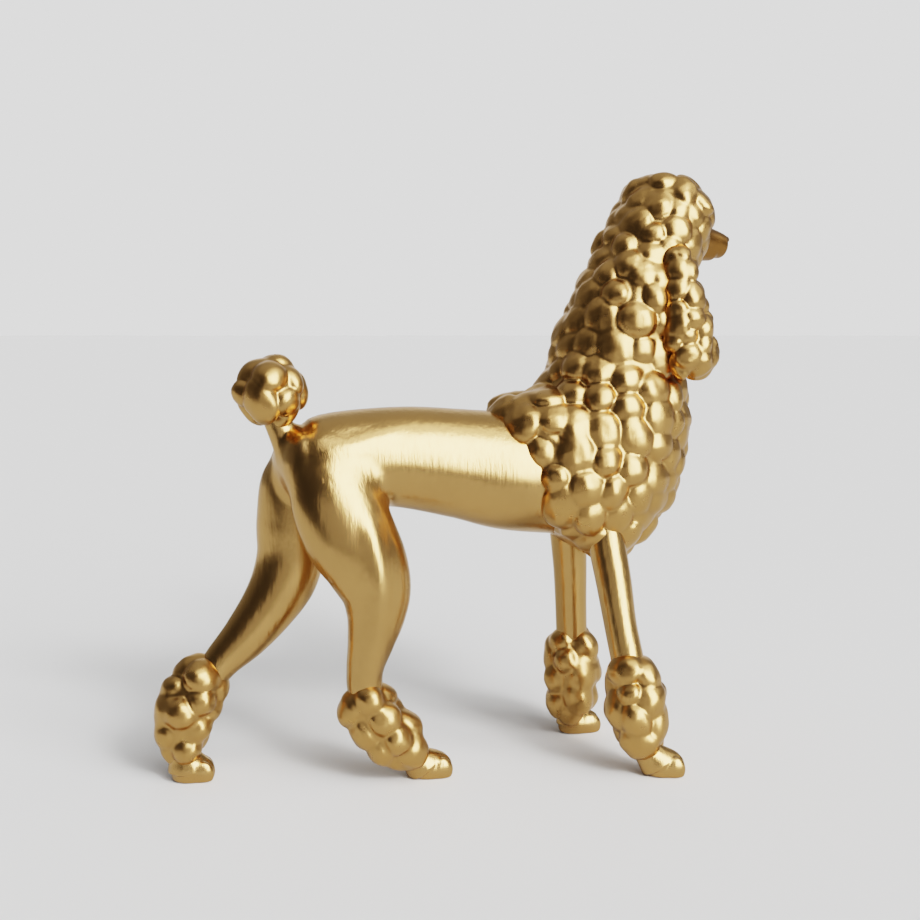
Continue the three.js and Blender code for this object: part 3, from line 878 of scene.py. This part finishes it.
def gold(name, colour, dark, roughness, streaks, dents, crease):
    """Metallic gold paint: uneven tone, brush streaks, and painted shade in the creases, towards the
    dark colour.
    """
    material, nodes, links, shader = new_material(name)
    shader.inputs["Metallic"].default_value = 1.0

    cloud = map_range(nodes, links, noise(nodes, links, CLOUDS, 4), 0.35, 0.7, 0.0, 0.35)
    shade = tuple(CLOUD_SHADE * c for c in colour)
    tone = mix_colour(nodes, links, cloud, colour, shade)
    depth = nodes.new("ShaderNodeAttribute")
    depth.attribute_name = "crease"
    shade_patchiness = map_range(nodes, links, noise(nodes, links, PATCHES, 2), 0.35, 0.65, 0.35, 1.0)
    # Painted shade: the deeper in a crease, the nearer the colour comes to the dark one, in uneven
    # patches.
    painted_shade = maths(nodes, links, "MULTIPLY", depth.outputs["Fac"], crease)
    painted_shade = maths(nodes, links, "MULTIPLY", painted_shade, shade_patchiness)
    links.new(mix_colour(nodes, links, painted_shade, tone, dark), shader.inputs["Base Color"])

    worn = noise(nodes, links, WEAR, 3)
    rough = map_range(nodes, links, worn, 0.3, 0.7, roughness - 0.02, roughness + 0.03)
    links.new(rough, shader.inputs["Roughness"])

    waves = noise(nodes, links, WAVES, 2, stretch=(1, 1, 2.2))
    broad = noise(nodes, links, BROAD_STREAKS, 3, stretch=(1, 1, 9))
    fine = noise(nodes, links, FINE_STREAKS, 2, stretch=(1, 1, 14))
    normal = bump(nodes, links, waves, WAVE_RELIEF)
    normal = bump(nodes, links, noise(nodes, links, DENTS, 2), DENT_RELIEF, normal, dents)
    normal = bump(nodes, links, broad, BROAD_RELIEF, normal, streaks)
    normal = bump(nodes, links, fine, FINE_RELIEF, normal, streaks)
    normal = bump(nodes, links, noise(nodes, links, GRAIN, 3), GRAIN_RELIEF, normal)
    links.new(normal, shader.inputs["Normal"])
    return material


def brushed_steel():
    """The steel of the rods inside the legs, drawn along their length."""
    material, nodes, links, shader = new_material("brushed_steel")
    shader.inputs["Metallic"].default_value = 1.0
    shader.inputs["Base Color"].default_value = (0.5, 0.5, 0.49, 1)
    drawn = noise(nodes, links, STEEL_STREAKS, 2, stretch=(1, 1, 30))
    links.new(map_range(nodes, links, drawn, 0.3, 0.7, 0.25, 0.42), shader.inputs["Roughness"])
    links.new(bump(nodes, links, drawn, STEEL_RELIEF), shader.inputs["Normal"])
    return material


# ------------------------------------------------------------------ studio

BACKDROP = 1.0  # radiance of the pale backdrop
ROOM = 0.24  # radiance of the room around
DARK = 0.07  # radiance of the dark side, left of the camera
DARK_SIDE = (-42, 16)  # azimuth and elevation
DARK_FADE = (0.1, 0.85)  # cosines from the dark side where the room starts and ends to darken
SOFTBOXES = (
    # azimuth, elevation, half width, half height, power, softness
    (24, 21, 22, 31, 6.0, 0.25),  # key, right of the camera
    (20, 66, 28, 9, 1.8, 0.5),  # overhead
    (82, 36, 12, 14, 0.8, 0.5),  # right side
    (162, 14, 24, 30, 0.55, 0.4),  # pale wall behind
    (200, 78, 40, 24, 0.22, 0.5),  # ceiling
)
SHADOW_LIGHT = (21, 33)  # azimuth and elevation of the light that only the floor sees
SHADOW_LIGHT_POWER = 1.5
SHADOW_LIGHT_ANGLE = math.radians(13)  # how wide it looks, which softens the shadows
FLOOR_TONE = 0.57  # as the figurine mirrors it
FLOOR_SEEN = 0.75  # as the camera sees it, brought up to the backdrop
CARD_AZIMUTH = -20
CARD_DISTANCE = 0.34  # metres from the middle
CARD_SIZE = (0.158, 0.2)  # half width and height of the pale card, metres
CARD_LIGHT = 0.4  # its radiance
TABLE_EDGE = 0.3  # metres from the middle to the near edge
TABLE_REACH = 60.0  # metres behind and to both sides
CAMERA_AZIMUTH = -18
CAMERA_ELEVATION = 6
CAMERA_TARGET = (0, 0, 140)  # in the stations' axes
CAMERA_DISTANCE = 0.56  # metres
SENSOR_WIDTH = 36.0
FOCAL_LENGTH = 47.8


def direction(azimuth, elevation):
    """Unit vector; azimuth 0 is -Y and grows towards +X, in degrees."""
    a, e = math.radians(azimuth), math.radians(elevation)
    return Vector((math.sin(a) * math.cos(e), -math.cos(a) * math.cos(e), math.sin(e)))


def along(nodes, links, ray, axis):
    """How far a ray goes along an axis."""
    node = nodes.new("ShaderNodeVectorMath")
    node.operation = "DOT_PRODUCT"
    node.inputs[1].default_value = axis
    links.new(ray, node.inputs[0])
    return node.outputs["Value"]


def softbox(nodes, links, ray, azimuth, elevation, width, height, power, soft):
    """Light from a far soft-edged rectangle; width and height are half angles in degrees."""
    facing = direction(azimuth, elevation)
    right = Vector((math.cos(math.radians(azimuth)), math.sin(math.radians(azimuth)), 0))
    up = facing.cross(right)
    depth = maths(nodes, links, "MAXIMUM", along(nodes, links, ray, facing), 0.001)
    result = power
    for axis, half in ((right, width), (up, height)):
        edge = math.tan(math.radians(half))
        aside = maths(nodes, links, "DIVIDE", along(nodes, links, ray, axis), depth)
        fade = nodes.new("ShaderNodeMapRange")
        fade.interpolation_type = "SMOOTHSTEP"
        fade.inputs["From Min"].default_value = edge * (1 + soft)
        fade.inputs["From Max"].default_value = edge * (1 - soft)
        links.new(maths(nodes, links, "ABSOLUTE", aside, 0), fade.inputs["Value"])
        result = maths(nodes, links, "MULTIPLY", fade.outputs["Result"], result)
    return result


def studio():
    """A dim room seen as light from far away: softboxes, a pale wall behind, a dark camera side."""
    world = bpy.data.worlds.new("studio")
    bpy.context.scene.world = world
    world.use_nodes = True
    nodes, links = world.node_tree.nodes, world.node_tree.links
    ray = nodes.new("ShaderNodeTexCoord").outputs["Generated"]
    to_dark = along(nodes, links, ray, direction(*DARK_SIDE))
    light = map_range(nodes, links, to_dark, *DARK_FADE, ROOM, DARK)
    for box in SOFTBOXES:
        light = maths(nodes, links, "ADD", light, softbox(nodes, links, ray, *box))
    seen = nodes.new("ShaderNodeLightPath").outputs["Is Camera Ray"]
    backdrop = nodes.new("ShaderNodeMix")
    links.new(seen, backdrop.inputs["Factor"])
    links.new(light, backdrop.inputs["A"])
    backdrop.inputs["B"].default_value = BACKDROP
    links.new(backdrop.outputs["Result"], nodes["Background"].inputs["Color"])


def shadow_light():
    """A sun whose mirror image is left out of the gold: it gives the table its soft shadows."""
    lamp = bpy.data.lights.new("shadow_light", "SUN")
    lamp.energy = SHADOW_LIGHT_POWER
    lamp.angle = SHADOW_LIGHT_ANGLE
    light = bpy.data.objects.new("shadow_light", lamp)
    light.rotation_mode = "QUATERNION"
    light.rotation_quaternion = direction(*SHADOW_LIGHT).to_track_quat("Z", "Y")
    light.visible_glossy = False
    bpy.context.scene.collection.objects.link(light)


def plane(name, corners, material):
    """A four-cornered sheet of the studio."""
    mesh = bpy.data.meshes.new(name)
    mesh.from_pydata(corners, [], [(0, 1, 2, 3)])
    mesh.materials.append(material)
    sheet = bpy.data.objects.new(name, mesh)
    bpy.context.scene.collection.objects.link(sheet)
    return sheet


def bounce_card():
    """A pale card under the lens, seen only as a mirror image in the gold of the legs."""
    foot = direction(CARD_AZIMUTH, 0) * CARD_DISTANCE
    across = direction(CARD_AZIMUTH + 90, 0) * CARD_SIZE[0]
    up = Vector((0, 0, CARD_SIZE[1]))
    material, nodes, links, shader = new_material("pale_card")
    shader.inputs["Base Color"].default_value = (0, 0, 0, 1)
    shader.inputs["Emission Color"].default_value = (1, 1, 1, 1)
    even = map_range(nodes, links, noise(nodes, links, 6, 2), 0.3, 0.7, 0.9, 1.1)
    strength = maths(nodes, links, "MULTIPLY", even, CARD_LIGHT)
    links.new(strength, shader.inputs["Emission Strength"])
    corners = [foot - across, foot + across, foot + across + up, foot - across + up]
    card = plane("card", corners, material)
    card.visible_camera = False
    card.visible_diffuse = False
    card.visible_shadow = False


def floor():
    """A pale table that ends a little in front of the figurine and runs to the horizon behind."""
    near = direction(CAMERA_AZIMUTH, 0) * TABLE_EDGE
    far = direction(CAMERA_AZIMUTH, 0) * -TABLE_REACH
    across = direction(CAMERA_AZIMUTH + 90, 0) * TABLE_REACH
    material, nodes, links, shader = new_material("pale_floor")
    seen = nodes.new("ShaderNodeLightPath").outputs["Is Camera Ray"]
    tone = map_range(nodes, links, seen, 0, 1, FLOOR_TONE, FLOOR_SEEN)
    grain = map_range(nodes, links, noise(nodes, links, 400, 3), 0, 1, 0.998, 1.0)
    links.new(maths(nodes, links, "MULTIPLY", tone, grain), shader.inputs["Base Color"])
    shader.inputs["Roughness"].default_value = 1.0
    shader.inputs["Specular IOR Level"].default_value = 0.0
    plane("floor", [near - across, near + across, far + across, far - across], material)


def camera():
    """Camera behind the right side of the dog, at the photograph's angle."""
    target = (Vector(CAMERA_TARGET) - Vector(FIGURE_MIDDLE)) * MM
    lens = bpy.data.cameras.new("camera")
    lens.sensor_width = SENSOR_WIDTH
    lens.lens = FOCAL_LENGTH
    eye = bpy.data.objects.new("camera", lens)
    bpy.context.scene.collection.objects.link(eye)
    back = direction(CAMERA_AZIMUTH, CAMERA_ELEVATION)
    eye.location = target + back * CAMERA_DISTANCE
    eye.rotation_mode = "QUATERNION"
    eye.rotation_quaternion = (-back).to_track_quat("-Z", "Y")
    bpy.context.scene.camera = eye


def film():
    """How the camera turns light into tones."""
    view = bpy.context.scene.view_settings
    view.view_transform = "Filmic"
    view.look = "High Contrast"


# ------------------------------------------------------------------ the figurine


def add_rods(steel):
    """The CAD rods and tail pin stay as they are, in steel."""
    for name in [f"{leg}_rod" for leg in LEGS] + ["tail_pin"]:
        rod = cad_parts[name]
        rod.data.materials.clear()
        rod.data.materials.append(steel)


# The second colour of each gold is its painted shade in the creases, and the last number is how much
# of it is painted: only the coat has any.
BODY_GOLD = gold("satin_gold", (0.56, 0.351, 0.147), (0.36, 0.21, 0.08), 0.24, 0.6, 0.05, 0.0)
COAT_GOLD = gold("coat_gold", (0.555, 0.336, 0.134), (0.3, 0.185, 0.08), 0.29, 0.15, 0.25, 0.55)
MUZZLE_GOLD = gold("muzzle_gold", (0.32, 0.17, 0.055), (0.38, 0.2, 0.07), 0.3, 0.2, 0.1, 0.0)
STEEL = brushed_steel()

add_coat(COAT_GOLD)
add_ears(COAT_GOLD)
add_cuffs(COAT_GOLD)
add_pompom(COAT_GOLD)
add_body(BODY_GOLD)
add_fore_legs(BODY_GOLD)
add_paws(BODY_GOLD)
add_muzzle(MUZZLE_GOLD)
add_rods(STEEL)

studio()
shadow_light()
bounce_card()
floor()
camera()
film()
